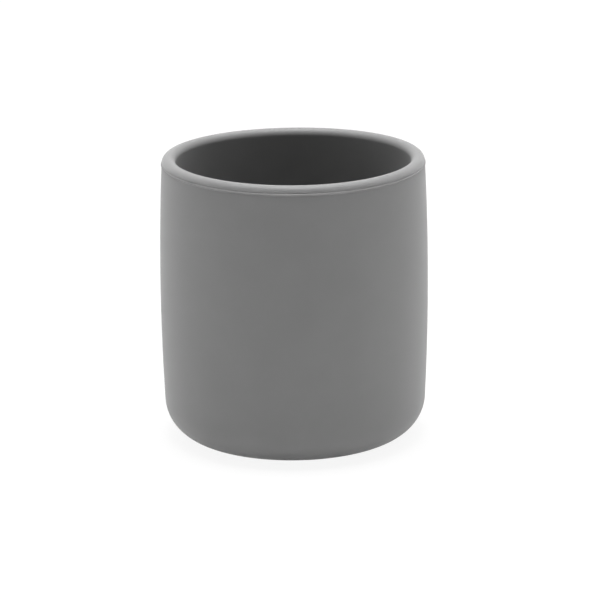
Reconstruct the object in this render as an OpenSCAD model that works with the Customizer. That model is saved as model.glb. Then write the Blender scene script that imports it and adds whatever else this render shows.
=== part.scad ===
// Silicone cup: an inner liner with the drinking lip, an outer sleeve with the base,
// and the bead of bonding silicone that closes the seam between them under the lip.
// The origin is at the middle of the base, on the table, with +Z up. Sizes are in mm.
// Every piece is turned from a half section, drawn with the cup's axis at x = 0.

/* [Cup] */
// Height from the table to the top of the lip
cup_h = 80; // [65:0.5:100]
// Outer diameter at the belly, where the cup is widest
cup_d = 75; // [65:0.5:90]
// Height of the belly above the table
belly_h = 42; // [32:0.5:50]
// Radius of the wall's gentle barrel curve, seen from the side
barrel_r = 680; // [450:10:1200]
// Full thickness of the wall, and so of the round lip
wall_t = 3.8; // [3.6:0.1:5]
// Radius of the outside corner between the wall and the base
base_round = 10.8; // [8:0.1:14]
// Radius of the inside corner between the wall and the floor
cavity_round = 7; // [5:0.1:12]

/* [Outer sleeve] */
// Thickness of the sleeve's wall
sleeve_t = 2; // [1.8:0.1:2.4]
// Thickness of the sleeve's floor
sleeve_floor = 2.4; // [2:0.1:4]
// Width of the flat ring that the cup stands on
foot_w = 4.2; // [2:0.1:8]
// Depth of the hollow inside the foot ring
hollow_depth = 0.8; // [0.4:0.1:1.2]
// Width of the slope from the foot ring up into the hollow
hollow_slope = 0.8; // [0.4:0.1:1.5]

/* [Inner liner] */
// Thickness of the liner's floor
liner_floor = 2.5; // [2:0.1:4]

/* [Joint between liner and sleeve] */
// Thickness of the bonding silicone that fills the joint
bond_gap = 0.1; // [0.05:0.01:0.15]
// Distance from the middle of the lip's round down to the seam
seam_drop = 0.3; // [0.1:0.05:1.5]
// Width of the tongue on the sleeve's top edge
tongue_w = 0.8; // [0.5:0.05:0.9]
// Height of the tongue
tongue_h = 1; // [0.6:0.05:1.2]
// Radius of the centring boss on the sleeve's floor
boss_r = 8; // [5:0.5:15]
// Height of the centring boss
boss_h = 1; // [0.5:0.1:1.4]

/* [Seam bead] */
// Radius of the bead's round section
bead_r = 0.3; // [0.2:0.01:0.35]
// How far the bead stands out from the wall
bead_proud = 0.12; // [0.05:0.01:0.18]
// Play between the bead and the groove that holds it
bead_gap = 0.05; // [0.02:0.01:0.08]

/* [Hidden] */
silicone_grey = "#7c7c7c";
bead_grey = "#868686";
// Overrun of every cut
over = 5;
// A round stands this far proud of the wall's curve, so that the two cross where they
// would otherwise only touch
cross = 0.001;
// Segments of a preview circle, with more for the long barrel curve
$fn = 180;
barrel_fn = 1440;

// Middle of the barrel curve, beyond the cup's axis
barrel_x = cup_d / 2 - barrel_r;
// A radius past every face of the cup
reach_x = cup_d / 2 + over;
lip_r = wall_t / 2 + cross;
lip_z = cup_h - lip_r;
lip_x = wall_x(wall_t / 2, lip_z);
seam_z = lip_z - seam_drop;
seam_x = wall_x(0, seam_z);
foot_x = wall_x(base_round, base_round) - foot_w;
// The liner's outer face follows the sleeve's inner one, inside it by the bond
sleeve_round = base_round - sleeve_t;
liner_inset = sleeve_t + bond_gap;
liner_z = sleeve_floor + bond_gap;
liner_round = sleeve_round - bond_gap;
cavity_z = liner_z + liner_floor;
bead_x = seam_x + bead_proud - bead_r;
groove_r = bead_r + bead_gap;
// The tongue stands midway between the bead's groove and the sleeve's inner face
tongue_x = (bead_x - groove_r + seam_x - sleeve_t) / 2;

// Radius of the cup at a height, on the face that lies inset from the outer one
function wall_x(inset, z) = barrel_x + sqrt(pow(barrel_r - inset, 2) - pow(z - belly_h, 2));

// The line from the middle of the barrel curve through a point, as its height at a radius:
// it crosses every face of the wall squarely
function square_z(x, point) =
    point.y + (x - point.x) * (point.y - belly_h) / (point.x - barrel_x);

// Half section of a solid whose wall is the face that lies inset from the cup's outer one.
// It rises from its floor past the lip, and its corner's round runs on from the barrel curve.
module filled_section(inset, floor_z, corner_r) {
    corner_z = floor_z + corner_r;
    corner_x = wall_x(inset + corner_r, corner_z) + cross;
    corner = [corner_x, corner_z];
    translate([0, floor_z])
        square([corner_x, corner_r]);
    intersection() {
        translate(corner)
            circle(corner_r);
        translate([corner_x, floor_z - over])
            square([reach_x, corner_r + over]);
    }
    intersection() {
        translate([barrel_x, belly_h])
            circle(barrel_r - inset, $fn = barrel_fn);
        polygon([
            [0, corner_z],
            corner,
            [reach_x, square_z(reach_x, corner)],
            [reach_x, cup_h + over],
            [0, cup_h + over],
        ]);
    }
}

// Half section of the whole cup: its wall, cut squarely at the middle of the lip's round,
// its floor, and the round itself
module cup_section() {
    lip = [lip_x, lip_z];
    intersection() {
        difference() {
            filled_section(0, 0, base_round);
            filled_section(wall_t, cavity_z, cavity_round);
        }
        polygon([
            [0, -over],
            [reach_x, -over],
            [reach_x, square_z(reach_x, lip)],
            [0, square_z(0, lip)],
        ]);
    }
    translate(lip)
        circle(lip_r);
}

// Half section of everything below the seam
module below_seam() {
    translate([0, -over])
        square([reach_x, seam_z + over]);
}

// Half section of the groove that the bead lies in, shared by the lip and the sleeve
module bead_groove() {
    translate([bead_x, seam_z])
        circle(groove_r);
}

// Half section of the tongue, from the sleeve's wall up into the lip, with play all round
module tongue(play) {
    translate([tongue_x - tongue_w / 2 - play, seam_z - tongue_h])
        square([tongue_w + 2 * play, 2 * tongue_h + play]);
}

// Half section of the centring boss, from the sleeve's floor up into the liner's
module boss(play) {
    translate([0, sleeve_floor - boss_h])
        square([boss_r + play, 2 * boss_h + play]);
}

// Drinking cup moulding: the inside, the floor and the full-round lip
module inner_liner() {
    color(silicone_grey)
    rotate_extrude()
    difference() {
        cup_section();
        difference() {
            below_seam();
            filled_section(liner_inset, liner_z, liner_round);
        }
        tongue(bond_gap);
        boss(bond_gap);
        bead_groove();
    }
}

// Outer moulding: the barrel wall, the rounded corner and the base that the cup stands on
module outer_sleeve() {
    color(silicone_grey)
    rotate_extrude()
    difference() {
        union() {
            difference() {
                intersection() {
                    cup_section();
                    below_seam();
                }
                filled_section(sleeve_t, sleeve_floor, sleeve_round);
            }
            tongue(0);
            boss(0);
        }
        polygon([
            [0, -over],
            [foot_x, -over],
            [foot_x, 0],
            [foot_x - hollow_slope, hollow_depth],
            [0, hollow_depth],
        ]);
        bead_groove();
    }
}

// Bonding silicone, drawn up out of the joint and wiped to a fine bead round the cup
module seam_bead() {
    color(bead_grey)
    rotate_extrude()
    translate([bead_x, seam_z])
        circle(bead_r);
}

inner_liner();
outer_sleeve();
seam_bead();
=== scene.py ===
import math

import bpy
from mathutils import Matrix, Vector


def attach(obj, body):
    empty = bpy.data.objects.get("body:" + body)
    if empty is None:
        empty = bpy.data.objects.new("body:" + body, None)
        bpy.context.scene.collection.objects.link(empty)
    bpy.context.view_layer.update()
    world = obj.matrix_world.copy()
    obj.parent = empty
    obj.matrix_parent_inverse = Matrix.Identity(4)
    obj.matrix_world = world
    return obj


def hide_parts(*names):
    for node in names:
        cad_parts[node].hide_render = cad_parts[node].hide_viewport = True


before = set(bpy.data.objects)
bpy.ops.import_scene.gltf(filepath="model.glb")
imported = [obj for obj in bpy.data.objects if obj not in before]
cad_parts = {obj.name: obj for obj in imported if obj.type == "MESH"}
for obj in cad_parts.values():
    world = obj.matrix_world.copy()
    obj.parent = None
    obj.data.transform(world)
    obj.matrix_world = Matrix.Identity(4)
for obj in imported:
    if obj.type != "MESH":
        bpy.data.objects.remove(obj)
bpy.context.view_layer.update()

mm = 0.001  # the sections below are drawn in millimetres, and the scene is in metres
print("frame loaded:", ", ".join(sorted(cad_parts)))


# Small helpers

def addNode(tree, kind, links=None, **settings):
    # one node with its settings. Each input takes a node's first output, a socket or a plain value
    node = tree.nodes.new(kind)
    for name, value in settings.items():
        setattr(node, name, value)
    for name, source in (links or {}).items():
        if isinstance(source, bpy.types.Node):
            source = source.outputs[0]
        if isinstance(source, bpy.types.NodeSocket):
            tree.links.new(source, node.inputs[name])
        else:
            node.inputs[name].default_value = source
    return node


def hexToLinear(code):
    values = [int(code[i:i + 2], 16) / 255 for i in (1, 3, 5)]
    return [v / 12.92 if v <= 0.04045 else ((v + 0.055) / 1.055) ** 2.4 for v in values] + [1.0]


# The cup's shape, shared by its three pieces, with the sizes of the CAD source in millimetres

cup = {
    "height": 80.0,
    "bellyDiameter": 75.0,
    "bellyHeight": 42.0,
    "barrelRadius": 680.0,
    "wall": 3.8,
    "baseRound": 10.8,
    "bondGap": 0.1,  # the bonding silicone between the two mouldings
    "seamDrop": 0.3,  # from the middle of the lip's round down to the seam
    "stepsRound": 288,
    "closedWithin": 20.0,  # inside this radius the floor lies truer and truer
}
barrelMiddle = cup["bellyDiameter"] / 2 - cup["barrelRadius"]


def wallRadius(inset, z):
    # radius of the face that lies inset from the cup's outer one
    return barrelMiddle + math.sqrt((cup["barrelRadius"] - inset) ** 2 - (z - cup["bellyHeight"]) ** 2)


def squareAngle(point):
    # direction that crosses the wall squarely at a point
    return math.atan2(point[1] - cup["bellyHeight"], point[0] - barrelMiddle)


# A line, an arc and a wallLine each end with the number of steps along them

def line(start, end, steps=1):
    return [(start[0] + (end[0] - start[0]) * i / steps, start[1] + (end[1] - start[1]) * i / steps)
            for i in range(steps + 1)]


def arc(middle, radius, start, end, steps):
    angles = [start + (end - start) * i / steps for i in range(steps + 1)]
    return [(middle[0] + radius * math.cos(a), middle[1] + radius * math.sin(a)) for a in angles]


def wallLine(inset, start, end, steps):
    return [(wallRadius(inset, z), z) for x, z in line((0, start), (0, end), steps)]


def cornerMiddle(inset, floor, radius):
    return (wallRadius(inset + radius, floor + radius), floor + radius)


sliver = 1.02  # a cut that falls within 2% of the next point moves on to it
easeSteps = 6


def trimmed(points, length):
    # the line without its first length, so that a corner can be eased there
    left = length
    for i in range(len(points) - 1):
        (x0, z0), (x1, z1) = points[i], points[i + 1]
        step = math.hypot(x1 - x0, z1 - z0)
        if step > left * sliver:
            share = left / step
            return [(x0 + (x1 - x0) * share, z0 + (z1 - z0) * share)] + points[i + 1:]
        left -= step
    return points[-1:]


def eased(points, part, ease):
    # rounds the corner where two lines meet. A point on either side keeps the flats flat when shaded smooth
    before = trimmed(points[::-1], ease)[::-1]
    after = trimmed(part, ease)
    hold = trimmed(before[::-1], ease / 2)[0]
    holdAfter = trimmed(after, ease / 2)[0]
    start, corner, end = Vector(before[-1]), Vector(part[0]), Vector(after[0])
    shares = [i / easeSteps for i in range(easeSteps + 1)]
    curve = [tuple(start.lerp(corner, s).lerp(corner.lerp(end, s), s)) for s in shares]
    return before[:-1] + [hold] + curve + [holdAfter] + after[1:]


def outline(*parts):
    # joins the parts of a section. A number between two parts eases the edge where they meet
    points, ease = [], 0.0
    for part in parts:
        if not isinstance(part, list):
            ease = part
        elif ease:
            points, ease = eased(points, part, ease), 0.0
        else:
            points = points + part[1 if points else 0:]
    return points


# Geometry Nodes tree that turns a half section round the cup's axis, as the mould's cavity was turned

softness = {  # how far the soft cup stands from a true round, in metres, and which way, in degrees
    "Rim tilt": 0.00017,
    "Rim tilt angle": -92.0,
    "Rim saddle": 0.00017,
    "Rim saddle angle": 9.5,
    "Rim lean": 0.00011,
    "Rim lean angle": 0.0,
    "Rim oval": 0.00002,
    "Rim oval angle": 0.0,
    "Foot oval": 0.00016,
    "Foot oval angle": 38.5,
    "Foot lobes": 0.00011,
    "Foot lobes angle": -33.7,
}
fadePower = 2.0  # how fast the waves fade down from the rim and up from the foot
weldDistance = 1e-7  # metres, closes the turn and the poles


def buildTurningTree():
    tree = bpy.data.node_groups.new("turnedSection", "GeometryNodeTree")
    tree.interface.new_socket("Section", in_out="INPUT", socket_type="NodeSocketGeometry")
    tree.interface.new_socket("Steps round", in_out="INPUT", socket_type="NodeSocketInt")
    for name in ["Rim height", "Closed within"] + list(softness):
        tree.interface.new_socket(name, in_out="INPUT", socket_type="NodeSocketFloat")
    tree.interface.new_socket("Material", in_out="INPUT", socket_type="NodeSocketMaterial")
    tree.interface.new_socket("Turned", in_out="OUTPUT", socket_type="NodeSocketGeometry")
    given = addNode(tree, "NodeGroupInput").outputs

    # a grid with one column for each step and one row for each point of the section
    section = addNode(tree, "GeometryNodeAttributeDomainSize", {"Geometry": given["Section"]})
    rows = section.outputs["Point Count"]
    columns = addNode(tree, "ShaderNodeMath", {0: given["Steps round"], 1: 1.0}, operation="ADD")
    grid = addNode(tree, "GeometryNodeMeshGrid", {"Vertices X": columns, "Vertices Y": rows})
    index = addNode(tree, "GeometryNodeInputIndex")
    row = addNode(tree, "ShaderNodeMath", {0: index, 1: rows}, operation="FLOORED_MODULO")
    column = addNode(tree, "ShaderNodeMath", {0: index, 1: row}, operation="SUBTRACT")
    column = addNode(tree, "ShaderNodeMath", {0: column, 1: rows}, operation="DIVIDE")
    share = addNode(tree, "ShaderNodeMath", {0: column, 1: given["Steps round"]}, operation="DIVIDE")
    turn = addNode(tree, "ShaderNodeMath", {0: share, 1: 2 * math.pi}, operation="MULTIPLY")
    drawn = addNode(tree, "GeometryNodeInputPosition")
    point = addNode(tree, "GeometryNodeSampleIndex", data_type="FLOAT_VECTOR",
                    links={"Geometry": given["Section"], "Value": drawn, "Index": row})
    around = addNode(tree, "ShaderNodeVectorRotate", {"Vector": point, "Angle": turn}, rotation_type="Z_AXIS")

    # a soft cup is never quite round or level: each wave fades out from the rim down or from the foot up
    place = addNode(tree, "ShaderNodeSeparateXYZ", {0: point}).outputs
    height = addNode(tree, "ShaderNodeMath", {0: place["Z"], 1: given["Rim height"]},
                     operation="DIVIDE", use_clamp=True)
    fromRim = addNode(tree, "ShaderNodeMath", {0: height, 1: fadePower}, operation="POWER")
    depth = addNode(tree, "ShaderNodeMath", {0: 1.0, 1: height}, operation="SUBTRACT")
    fromFoot = addNode(tree, "ShaderNodeMath", {0: depth, 1: fadePower}, operation="POWER")
    waves = (  # name, times round, fade, and X for outwards or Z for upwards
        ("Rim lean", 1, fromRim, "X"),
        ("Rim oval", 2, fromRim, "X"),
        ("Rim tilt", 1, fromRim, "Z"),
        ("Rim saddle", 2, fromRim, "Z"),
        ("Foot oval", 2, fromFoot, "X"),
        ("Foot lobes", 3, fromFoot, "X"),
    )
    offset = {"X": 0.0, "Z": 0.0}
    for name, timesRound, fade, way in waves:
        angle = addNode(tree, "ShaderNodeMath", {0: turn, 1: given[name + " angle"]}, operation="SUBTRACT")
        angle = addNode(tree, "ShaderNodeMath", {0: angle, 1: timesRound}, operation="MULTIPLY")
        wave = addNode(tree, "ShaderNodeMath", {0: angle}, operation="COSINE")
        wave = addNode(tree, "ShaderNodeMath", {0: wave, 1: given[name]}, operation="MULTIPLY")
        wave = addNode(tree, "ShaderNodeMath", {0: wave, 1: fade}, operation="MULTIPLY")
        offset[way] = addNode(tree, "ShaderNodeMath", {0: wave, 1: offset[way]}, operation="ADD")
    # nothing moves at the axis, so the poles stay closed
    nearAxis = addNode(tree, "ShaderNodeMath", {0: place["X"], 1: given["Closed within"]},
                       operation="DIVIDE", use_clamp=True)
    shift = addNode(tree, "ShaderNodeCombineXYZ", offset)
    shift = addNode(tree, "ShaderNodeVectorMath", {0: shift, "Scale": nearAxis}, operation="SCALE")
    shift = addNode(tree, "ShaderNodeVectorRotate", {"Vector": shift, "Angle": turn}, rotation_type="Z_AXIS")

    turned = addNode(tree, "GeometryNodeSetPosition", {
        "Geometry": grid, "Position": around, "Offset": shift,
    })
    closed = addNode(tree, "GeometryNodeMergeByDistance", {"Geometry": turned, "Distance": weldDistance})
    smooth = addNode(tree, "GeometryNodeSetShadeSmooth", {"Geometry": closed})
    real = addNode(tree, "GeometryNodeRealizeInstances", {"Geometry": smooth})
    painted = addNode(tree, "GeometryNodeSetMaterial", {"Geometry": real, "Material": given["Material"]})
    addNode(tree, "NodeGroupOutput", {"Turned": painted})
    return tree


turningTree = buildTurningTree()


def turnedPiece(name, section, material):
    # the half section as a line of points in the XZ plane, turned by the tree and kept as a plain mesh
    mesh = bpy.data.meshes.new(name + "Section")
    mesh.from_pydata([(x * mm, 0, z * mm) for x, z in section],
                     [(i, i + 1) for i in range(len(section) - 1)], [])
    drawn = bpy.data.objects.new(name + "Section", mesh)
    bpy.context.scene.collection.objects.link(drawn)
    turning = drawn.modifiers.new("turning", "NODES")
    turning.node_group = turningTree
    values = {
        "Steps round": cup["stepsRound"],
        "Rim height": cup["height"] * mm,
        "Closed within": cup["closedWithin"] * mm,
        "Material": material,
    }
    for key, value in softness.items():
        values[key] = math.radians(value) if key.endswith("angle") else value
    for item in turningTree.interface.items_tree:
        if item.in_out == "INPUT" and item.name in values:
            turning[item.identifier] = values[item.name]
    evaluated = drawn.evaluated_get(bpy.context.evaluated_depsgraph_get())
    plain = bpy.data.meshes.new_from_object(evaluated)
    bpy.data.objects.remove(drawn)
    plain.name = name
    piece = bpy.data.objects.new(name, plain)
    bpy.context.scene.collection.objects.link(piece)
    print(name, len(plain.polygons), "faces")
    return piece


# Materials

siliconeIor = 1.41  # typical of silicone rubber
noiseRange = {"From Min": 0.3, "From Max": 0.7}  # nearly all of a noise texture's values lie in it


def emptyMaterial(name):
    material = bpy.data.materials.new(name)
    material.use_nodes = True
    material.node_tree.nodes.clear()
    return material, material.node_tree


siliconeFinish = {
    "colour": "#7b7b7b",
    "roughness": 0.55,
    "cloudSize": 12.0,  # mm, how far apart the paler and darker patches of the pigment lie
    "cloudDetail": 2.0,
    "cloudTint": 0.025,  # share by which they are paler and darker
    "cloudPolish": 0.03,  # how much smoother and rougher they are
    "grainSize": 0.4,  # mm. The mould's own grain is about 0.08 mm, too fine to show, so it is drawn coarser
    "grainDetail": 1.0,
    "grainDepth": 0.006,  # mm
    "glowShare": 0.6,  # share of the light that goes under the skin
    "glowDepth": 1.5,  # mm that light travels under the skin
    "bloom": 0.13,  # the dry bloom on the skin, which pales it where it turns away
    "bloomSoftness": 0.5,
}


def mouldedSiliconeRubber(name):
    # Pigmented silicone rubber, compression moulded in a spark-eroded steel mould. The eye sees an even,
    # matt grey with a soft skin: no gloss, a slight glow through thin edges and a faint fine grain
    material, tree = emptyMaterial(name)
    place = addNode(tree, "ShaderNodeTexCoord").outputs["Object"]
    cloud = addNode(tree, "ShaderNodeTexNoise", {
        "Vector": place, "Scale": 1 / (siliconeFinish["cloudSize"] * mm),
        "Detail": siliconeFinish["cloudDetail"],
    })
    tint = addNode(tree, "ShaderNodeMapRange", {
        **noiseRange, "Value": cloud,
        "To Min": 1 - siliconeFinish["cloudTint"], "To Max": 1 + siliconeFinish["cloudTint"],
    })
    pigment = addNode(tree, "ShaderNodeVectorMath", {
        0: hexToLinear(siliconeFinish["colour"])[:3], "Scale": tint,
    }, operation="SCALE")
    polish = addNode(tree, "ShaderNodeMapRange", {
        **noiseRange, "Value": cloud,
        "To Min": siliconeFinish["roughness"] - siliconeFinish["cloudPolish"],
        "To Max": siliconeFinish["roughness"] + siliconeFinish["cloudPolish"],
    })
    grain = addNode(tree, "ShaderNodeTexNoise", {
        "Vector": place, "Scale": 1 / (siliconeFinish["grainSize"] * mm),
        "Detail": siliconeFinish["grainDetail"],
    })
    skin = addNode(tree, "ShaderNodeBump", {
        "Height": grain, "Distance": siliconeFinish["grainDepth"] * mm, "Strength": 1.0,
    })
    rubber = addNode(tree, "ShaderNodeBsdfPrincipled", {
        "Base Color": pigment,
        "Roughness": polish,
        "Normal": skin,
        "IOR": siliconeIor,
        "Subsurface Weight": siliconeFinish["glowShare"],
        "Subsurface Radius": (1.0, 1.0, 1.0),
        "Subsurface Scale": siliconeFinish["glowDepth"] * mm,
        "Sheen Weight": siliconeFinish["bloom"],
        "Sheen Roughness": siliconeFinish["bloomSoftness"],
    })
    addNode(tree, "ShaderNodeOutputMaterial", {"Surface": rubber})
    return material


# The seam under the lip, where the three pieces meet

bead = {
    "radius": 0.3,
    "proud": 0.12,  # how far it stands out from the wall
    "play": 0.05,  # between the bead and its groove
    "swell": 0.04,  # once wiped, the silicone fills its groove
    "steps": 20,
    # a shade paler than the mouldings: painted highlight for the light the bead's top catches
    "colour": "#7c7c7c",
    "roughness": 0.45,
    "wipeLength": 4.0,  # mm from one rise of the wiping finger to the next
    "wipeDetail": 3.0,
    "wipeDepth": 0.02,  # mm
    "wipeTint": 0.06,
}
jointEase = {  # mm, how far back from each corner its easing starts
    "groove": 0.04,
    "seam": 0.05,
    "tongue": 0.15,
}
lipRadius = cup["wall"] / 2
lipMiddle = (wallRadius(lipRadius, cup["height"] - lipRadius), cup["height"] - lipRadius)
lipTilt = squareAngle(lipMiddle)
seamZ = lipMiddle[1] - cup["seamDrop"]
beadMiddle = (wallRadius(0, seamZ) + bead["proud"] - bead["radius"], seamZ)
grooveRadius = bead["radius"] + bead["play"]
grooveOpening = math.acos((bead["radius"] - bead["proud"]) / grooveRadius)
grooveInner = (beadMiddle[0] - grooveRadius, seamZ)


# Outer sleeve

sleeve = {
    "thickness": 2.0,
    "floor": 2.4,
    "footWidth": 4.2,
    "hollowDepth": 0.8,
    "hollowSlope": 0.8,
    "tongueWidth": 0.8,
    "tongueHeight": 1.0,
    "bossRadius": 8.0,
    "bossHeight": 1.0,
    "footEase": 0.25,
    "topEase": 0.1,
    "bossFootEase": 0.2,
    "bossTopEase": 0.25,
    "wallSteps": 60,
}
# the tongue on its edge stands in the middle of the joint's face
tongueMiddle = (grooveInner[0] + wallRadius(0, seamZ) - sleeve["thickness"]) / 2


def sleeveSection():
    radius = cup["baseRound"]
    corner = cornerMiddle(0, 0, radius)
    footX = corner[0] - sleeve["footWidth"]
    innerRadius = radius - sleeve["thickness"]
    innerCorner = cornerMiddle(sleeve["thickness"], sleeve["floor"], innerRadius)
    cornerTop = corner[1] + radius * math.sin(squareAngle(corner))
    innerTop = innerCorner[1] + innerRadius * math.sin(squareAngle(innerCorner))
    hollow = (footX - sleeve["hollowSlope"], sleeve["hollowDepth"])
    grooveFoot = seamZ - grooveRadius * math.sin(grooveOpening)
    left, right = (tongueMiddle + side * sleeve["tongueWidth"] / 2 for side in (-1, 1))
    tongueTop = seamZ + sleeve["tongueHeight"]
    innerWall = wallRadius(sleeve["thickness"], seamZ)
    bossTop = sleeve["floor"] + sleeve["bossHeight"]
    boss = sleeve["bossRadius"]
    groove, seam, tongue = jointEase["groove"], jointEase["seam"], jointEase["tongue"]
    return outline(
        line((0, hollow[1]), hollow, 8), sleeve["footEase"],
        line(hollow, (footX, 0)), sleeve["footEase"],
        line((footX, 0), (corner[0], 0), 4),
        arc(corner, radius, -math.pi / 2, squareAngle(corner), 24),
        wallLine(0, cornerTop, grooveFoot, sleeve["wallSteps"]), seam,
        arc(beadMiddle, grooveRadius, -grooveOpening, -math.pi, 8), groove,
        line(grooveInner, (right, seamZ)), seam,
        line((right, seamZ), (right, tongueTop), 2), tongue,
        line((right, tongueTop), (left, tongueTop), 2), tongue,
        line((left, tongueTop), (left, seamZ), 2), seam,
        line((left, seamZ), (innerWall, seamZ)), sleeve["topEase"],
        wallLine(sleeve["thickness"], seamZ, innerTop, 24),
        arc(innerCorner, innerRadius, squareAngle(innerCorner), -math.pi / 2, 12),
        line((innerCorner[0], sleeve["floor"]), (boss, sleeve["floor"]), 4), sleeve["bossFootEase"],
        line((boss, sleeve["floor"]), (boss, bossTop), 2), sleeve["bossTopEase"],
        line((boss, bossTop), (0, bossTop), 3),
    )


outerSleeve = turnedPiece("outerSleeve", sleeveSection(), mouldedSiliconeRubber("mouldedSleeveSilicone"))
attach(outerSleeve, "root")
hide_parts("outer_sleeve")
print("outer sleeve turned")


# Inner liner, with the drinking lip

liner = {
    "floor": 2.5,
    "cavityRound": 7.0,  # the inside corner between the wall and the floor
    "socketTopEase": 0.2,
    "socketMouthEase": 0.25,
    "wallSteps": 60,
    "lipSteps": 48,
}


def linerSection():
    inset = sleeve["thickness"] + cup["bondGap"]
    under = sleeve["floor"] + cup["bondGap"]
    radius = cup["baseRound"] - inset
    corner = cornerMiddle(inset, under, radius)
    cornerTop = corner[1] + radius * math.sin(squareAngle(corner))
    floor = under + liner["floor"]
    cavity = cornerMiddle(cup["wall"], floor, liner["cavityRound"])
    cavityTop = cavity[1] + liner["cavityRound"] * math.sin(squareAngle(cavity))
    left, right = (tongueMiddle + side * (sleeve["tongueWidth"] / 2 + cup["bondGap"]) for side in (-1, 1))
    slotTop = seamZ + sleeve["tongueHeight"] + cup["bondGap"]
    socket = sleeve["bossRadius"] + cup["bondGap"]
    socketTop = sleeve["floor"] + sleeve["bossHeight"] + cup["bondGap"]
    outerWall = wallRadius(inset, seamZ)
    lipFoot = lipMiddle[1] - lipRadius * math.sin(lipTilt)
    groove, seam, tongue = jointEase["groove"], jointEase["seam"], jointEase["tongue"]
    return outline(
        line((0, socketTop), (socket, socketTop), 3), liner["socketTopEase"],
        line((socket, socketTop), (socket, under), 2), liner["socketMouthEase"],
        line((socket, under), (corner[0], under), 4),
        arc(corner, radius, -math.pi / 2, squareAngle(corner), 12),
        wallLine(inset, cornerTop, seamZ, 24), seam,
        line((outerWall, seamZ), (left, seamZ)), seam,
        line((left, seamZ), (left, slotTop), 2), tongue,
        line((left, slotTop), (right, slotTop), 2), tongue,
        line((right, slotTop), (right, seamZ), 2), seam,
        line((right, seamZ), grooveInner), groove,
        arc(beadMiddle, grooveRadius, math.pi, grooveOpening, 8), seam,
        arc(lipMiddle, lipRadius, lipTilt, math.pi + lipTilt, liner["lipSteps"]),
        wallLine(cup["wall"], lipFoot, cavityTop, liner["wallSteps"]),
        arc(cavity, liner["cavityRound"], squareAngle(cavity), -math.pi / 2, 24),
        line((cavity[0], floor), (0, floor), 10),
    )


innerLiner = turnedPiece("innerLiner", linerSection(), mouldedSiliconeRubber("mouldedLinerSilicone"))
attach(innerLiner, "root")
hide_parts("inner_liner")
print("inner liner turned")


# Seam bead

def wipedBondingSilicone(name):
    # One-part bonding silicone, drawn out of the joint and wiped along it with a wet finger. It is a shade
    # paler than the mouldings, a painted highlight for the light line the bead catches along its top, and
    # slightly smoother, with a gentle rise and fall along the bead
    material, tree = emptyMaterial(name)
    place = addNode(tree, "ShaderNodeTexCoord").outputs["Object"]
    wipe = addNode(tree, "ShaderNodeTexNoise", {
        "Vector": place, "Scale": 1 / (bead["wipeLength"] * mm), "Detail": bead["wipeDetail"],
    })
    tint = addNode(tree, "ShaderNodeMapRange", {
        **noiseRange, "Value": wipe,
        "To Min": 1 - bead["wipeTint"], "To Max": 1 + bead["wipeTint"],
    })
    pigment = addNode(tree, "ShaderNodeVectorMath", {
        0: hexToLinear(bead["colour"])[:3], "Scale": tint,
    }, operation="SCALE")
    ripple = addNode(tree, "ShaderNodeBump", {
        "Height": wipe, "Distance": bead["wipeDepth"] * mm, "Strength": 1.0,
    })
    silicone = addNode(tree, "ShaderNodeBsdfPrincipled", {
        "Base Color": pigment,
        "Roughness": bead["roughness"],
        "Normal": ripple,
        "IOR": siliconeIor,
    })
    addNode(tree, "ShaderNodeOutputMaterial", {"Surface": silicone})
    return material


beadSection = arc(beadMiddle, bead["radius"] + bead["swell"], -math.pi, math.pi, bead["steps"])
seamBead = turnedPiece("seamBead", beadSection, wipedBondingSilicone("wipedBondingSilicone"))
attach(seamBead, "root")
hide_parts("seam_bead")
print("seam bead wiped")


# Studio: white paper, pale light from behind and above, one round lamp overhead, the photograph's camera

studio = {  # lengths in metres. A level is how bright a thing looks, where 1 is white
    "floorSize": 4.0,
    "floorDrop": 0.00002,  # the paper lies this far under the foot ring, so that the two never flicker
    "floorShade": "#f3f3f3",
    "floorGlow": 0.9,  # share of plain white that the camera and gloss see, so the shadow stays faint
    "sweepLevel": 0.70,  # the paper behind and beside the cup
    "sweepOpens": (-0.5, -0.14),  # how far round towards the camera it reaches: -1 is the camera's side
    "sweepTop": (0.15, 0.45),  # where it fades out: 0 is the horizon and 1 straight up
    "sweepLean": 0.03,  # slightly brighter on the right
    "canopyLevel": 3.4,  # the lit silk over the back of the table
    "canopyFoot": (0.55, 0.85),  # where it begins, as with the sweep's top
    "cardLevel": 0.16,  # the pale card under the camera
    "cardEdge": (-0.8, -0.3),  # how far round it reaches, as with the sweep
    "roomLevel": 0.084,  # what is left of the light everywhere else
    "lampHeight": 1.08,
    "lampSize": 0.30,
    "lampLevel": 42.5,
}


def whiteRays(tree):
    # 1 where the camera, gloss or glass looks, so that each of them shows a white background
    rays = addNode(tree, "ShaderNodeLightPath").outputs
    seen = addNode(tree, "ShaderNodeMath", {0: rays["Is Camera Ray"], 1: rays["Is Glossy Ray"]},
                   operation="ADD")
    return addNode(tree, "ShaderNodeMath", {0: seen, 1: rays["Is Transmission Ray"]},
                   operation="ADD", use_clamp=True)


def whitePaperSweep():
    # Matt white background paper: it comes out white, and keeps the cup's soft shadow
    material, tree = emptyMaterial("whitePaperSweep")
    paper = addNode(tree, "ShaderNodeBsdfDiffuse", {"Color": hexToLinear(studio["floorShade"])})
    level = addNode(tree, "ShaderNodeMath", {0: whiteRays(tree), 1: studio["floorGlow"]},
                    operation="MULTIPLY")
    white = addNode(tree, "ShaderNodeEmission", {"Color": (1, 1, 1, 1), "Strength": 1.0})
    both = addNode(tree, "ShaderNodeMixShader", {0: level, 1: paper, 2: white})
    addNode(tree, "ShaderNodeOutputMaterial", {"Surface": both})
    return material


def buildFloor():
    half = studio["floorSize"] / 2
    level = -studio["floorDrop"]
    mesh = bpy.data.meshes.new("floor")
    mesh.from_pydata([(-half, -half, level), (half, -half, level), (half, half, level), (-half, half, level)],
                     [], [(0, 1, 2, 3)])
    mesh.materials.append(whitePaperSweep())
    floor = bpy.data.objects.new("floor", mesh)
    bpy.context.scene.collection.objects.link(floor)


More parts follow.
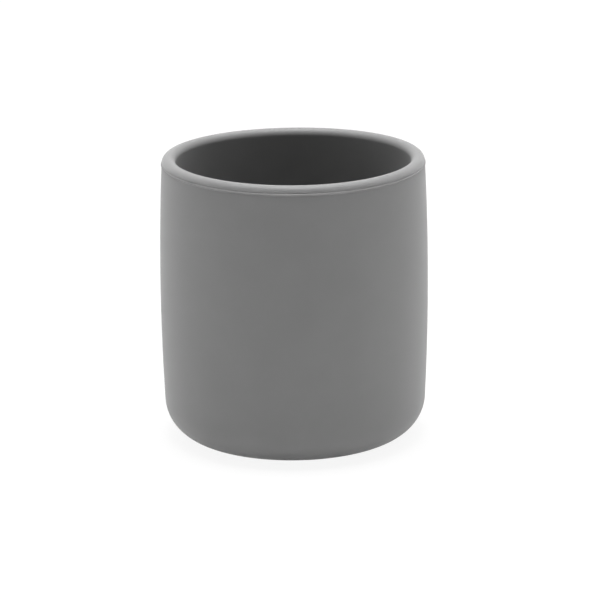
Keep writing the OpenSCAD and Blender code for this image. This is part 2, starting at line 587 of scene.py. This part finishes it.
def buildWorld():
    # the sweep stands behind and beside the cup, the canopy hangs over the back, and the camera's side is dim
    world = bpy.data.worlds.new("studioWorld")
    bpy.context.scene.world = world
    world.use_nodes = True
    tree = world.node_tree
    tree.nodes.clear()
    direction = addNode(tree, "ShaderNodeTexCoord").outputs["Generated"]
    axes = addNode(tree, "ShaderNodeSeparateXYZ", {0: direction}).outputs
    level = addNode(tree, "ShaderNodeCombineXYZ", {"X": axes["X"], "Y": axes["Y"]})
    level = addNode(tree, "ShaderNodeVectorMath", {0: level}, operation="NORMALIZE")
    compass = addNode(tree, "ShaderNodeSeparateXYZ", {0: level}).outputs
    behind = addNode(tree, "ShaderNodeMapRange", {
        "Value": compass["Y"], "From Min": studio["sweepOpens"][0], "From Max": studio["sweepOpens"][1],
        "To Min": 0.0, "To Max": 1.0,
    }, interpolation_type="SMOOTHSTEP")
    card = addNode(tree, "ShaderNodeMapRange", {
        "Value": compass["Y"], "From Min": studio["cardEdge"][0], "From Max": studio["cardEdge"][1],
        "To Min": studio["cardLevel"], "To Max": 0.0,
    }, interpolation_type="SMOOTHSTEP")
    lean = addNode(tree, "ShaderNodeMapRange", {
        "Value": compass["X"], "From Min": -1.0, "From Max": 1.0,
        "To Min": 1 - studio["sweepLean"], "To Max": 1 + studio["sweepLean"],
    })
    low = addNode(tree, "ShaderNodeMapRange", {
        "Value": axes["Z"], "From Min": studio["sweepTop"][0], "From Max": studio["sweepTop"][1],
        "To Min": 1.0, "To Max": 0.0,
    }, interpolation_type="SMOOTHSTEP")
    canopy = addNode(tree, "ShaderNodeMapRange", {
        "Value": axes["Z"], "From Min": studio["canopyFoot"][0], "From Max": studio["canopyFoot"][1],
        "To Min": 0.0, "To Max": studio["canopyLevel"],
    }, interpolation_type="SMOOTHSTEP")
    back = addNode(tree, "ShaderNodeMath", {0: low, 1: studio["sweepLevel"], 2: canopy},
                   operation="MULTIPLY_ADD")
    back = addNode(tree, "ShaderNodeMath", {0: back, 1: behind}, operation="MULTIPLY")
    back = addNode(tree, "ShaderNodeMath", {0: back, 1: lean, 2: studio["roomLevel"]},
                   operation="MULTIPLY_ADD")
    strength = addNode(tree, "ShaderNodeMath", {0: card, 1: low, 2: back}, operation="MULTIPLY_ADD")
    light = addNode(tree, "ShaderNodeBackground", {"Color": (1, 1, 1, 1), "Strength": strength})
    white = addNode(tree, "ShaderNodeBackground", {"Color": (1, 1, 1, 1), "Strength": 1.0})
    mixed = addNode(tree, "ShaderNodeMixShader", {0: whiteRays(tree), 1: light, 2: white})
    addNode(tree, "ShaderNodeOutputWorld", {"Surface": mixed})


def hangLamp():
    # a round lamp straight above the cup. Its energy is its level times pi times its area
    light = bpy.data.lights.new("overheadLamp", "AREA")
    light.shape = "DISK"
    light.size = studio["lampSize"]
    light.energy = studio["lampLevel"] * math.pi * math.pi * (studio["lampSize"] / 2) ** 2
    lamp = bpy.data.objects.new("overheadLamp", light)
    lamp.location = (0, 0, studio["lampHeight"])
    lamp.visible_camera = False
    bpy.context.scene.collection.objects.link(lamp)


view = {  # found by fitting the cup's outline to the photograph's
    "distance": 0.8715,  # metres from the middle of the cup
    "elevation": 16.222,  # degrees
    "roll": -0.563,  # degrees
    "aim": (1.600, -0.526, 38.191),  # mm
    "lens": 186.031,  # mm
    "sensor": 36.0,  # mm
    "clipEnd": 20.0,  # metres
}


def buildCamera():
    camera = bpy.data.objects.new("camera", bpy.data.cameras.new("camera"))
    bpy.context.scene.collection.objects.link(camera)
    slope = math.radians(view["elevation"])
    back = Vector((0, -math.cos(slope), math.sin(slope)))
    place = Vector((0, 0, cup["height"] / 2 * mm)) + view["distance"] * back
    aim = Vector([v * mm for v in view["aim"]])
    look = (aim - place).to_track_quat("-Z", "Y").to_matrix().to_4x4()
    roll = Matrix.Rotation(math.radians(view["roll"]), 4, "Z")
    camera.matrix_world = Matrix.Translation(place) @ look @ roll
    camera.data.lens = view["lens"]
    camera.data.sensor_width = view["sensor"]
    camera.data.clip_end = view["clipEnd"]
    bpy.context.scene.camera = camera


buildFloor()
buildWorld()
hangLamp()
buildCamera()

scene = bpy.context.scene
scene.view_settings.view_transform = "Standard"
print("studio built")
